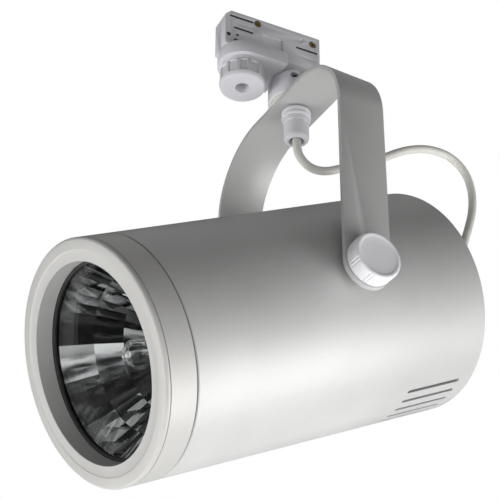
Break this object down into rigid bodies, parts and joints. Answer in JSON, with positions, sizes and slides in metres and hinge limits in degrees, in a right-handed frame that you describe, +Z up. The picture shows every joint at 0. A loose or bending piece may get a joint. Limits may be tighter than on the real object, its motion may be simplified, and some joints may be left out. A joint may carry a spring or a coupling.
{
  "type": "track spotlight",
  "caption": "Cylindrical museum spotlight with a faceted reflector behind glass, hung in a bent strip yoke from a track adapter, with a looped supply lead.",
  "frame": {"origin": "on the swivel axis, in the plane of the adapter shoulder that seats against the underside of the track", "axes": "+Z up along the swivel axis; the adapter runs along Y with its knob towards -Y; the beam leaves towards -Y, turned 4 degrees about Z and tilted 26.7 degrees down at rest; +X towards the right-hand arm seen along +Y"},
  "size_m": [0.1878, 0.3331, 0.3809],
  "materials": {
    "satin_silver_paint": "satin silver powder coat, fine grain",
    "light_grey_plastic": "fine moulded grain",
    "white_plastic": "smooth moulded",
    "zinc_steel": "bright zinc plate",
    "brass": "dulled",
    "contact_copper": "bare sheet copper alloy",
    "natural_nylon": "undyed nylon",
    "black_silicone": "moulded silicone",
    "white_silicone_flex": "extruded silicone sheath",
    "toughened_glass": "clear, polished",
    "lamp_glass": "clear quartz-type glass",
    "lamp_burner_ceramic": "translucent sintered",
    "steatite": "unglazed",
    "anodised_mirror_aluminium": "bright anodised, faceted",
    "gear_case": "moulded case"
  },
  "bodies": {
    "adapter": {"adapter_body": "light_grey_plastic", "adapter_cover": "light_grey_plastic", "cover_screw_front": "brass", "cover_screw_rear": "brass", "earth_contact": "contact_copper", "swivel_grub_screw": "zinc_steel"},
    "selector": {"selector_knob": "light_grey_plastic", "selector_shaft": "zinc_steel", "contact_phase_1": "contact_copper", "contact_phase_2": "contact_copper", "contact_phase_3": "contact_copper", "contact_neutral": "contact_copper", "locking_cam": "zinc_steel"},
    "yoke": {"yoke": "satin_silver_paint", "swivel_nipple": "zinc_steel", "swivel_washer": "natural_nylon", "cord_grip_collar": "light_grey_plastic", "cord_grip": "light_grey_plastic", "flex": "white_silicone_flex"},
    "head": {"pivot_spacer_right": "natural_nylon", "pivot_nut_right": "zinc_steel", "pivot_spacer_left": "natural_nylon", "pivot_nut_left": "zinc_steel", "housing_tube": "satin_silver_paint", "reflector": "anodised_mirror_aluminium", "reflector_carrier": "zinc_steel", "lamp_envelope": "lamp_glass", "lamp_burner": "lamp_burner_ceramic", "lamp_base": "steatite", "lamp_holder": "steatite", "heat_shield": "zinc_steel", "gear_tray": "zinc_steel", "ballast": "gear_case", "terminal_block": "natural_nylon", "tube_end_ring": "zinc_steel", "rear_cap": "satin_silver_paint", "rear_cap_screw_1": "zinc_steel", "rear_cap_screw_2": "zinc_steel", "rear_cap_screw_3": "zinc_steel", "cord_bush": "black_silicone"},
    "bezel": {"front_bezel": "satin_silver_paint", "front_glass": "toughened_glass", "glass_gasket": "black_silicone", "glass_retaining_ring": "zinc_steel"},
    "tilt_knob_right": {"tilt_knob_right": "white_plastic", "tilt_stud_right": "zinc_steel"},
    "tilt_knob_left": {"tilt_knob_left": "white_plastic", "tilt_stud_left": "zinc_steel"}
  },
  "joints": [
    {"name": "circuit_selector", "type": "hinge", "parent": "adapter", "child": "selector", "pos_m": [0, -0.0424, 0], "axis": [0, 0, 1], "range_deg": [0, 90]},
    {"name": "pan", "type": "hinge", "parent": "adapter", "child": "yoke", "pos_m": [0, 0, -0.033], "axis": [0, 0, 1], "range_deg": [-179, 171]},
    {"name": "tilt", "type": "hinge", "parent": "yoke", "child": "head", "pos_m": [0, 0, -0.2104], "axis": [0.9976, 0.0698, 0], "range_deg": [-26.7, 63.3], "deforming": ["flex"]},
    {"name": "bezel_twist", "type": "hinge", "parent": "head", "child": "bezel", "pos_m": [0, 0, -0.2104], "axis": [-0.0623, 0.8912, 0.4493], "range_deg": [0, 20]},
    {"name": "tilt_knob_right_turn", "type": "hinge", "parent": "head", "child": "tilt_knob_right", "pos_m": [0, 0, -0.2104], "axis": [0.9976, 0.0698, 0], "range_deg": [0, 360]},
    {"name": "tilt_knob_left_turn", "type": "hinge", "parent": "head", "child": "tilt_knob_left", "pos_m": [0, 0, -0.2104], "axis": [-0.9976, -0.0698, 0], "range_deg": [0, 360]}
  ]
}
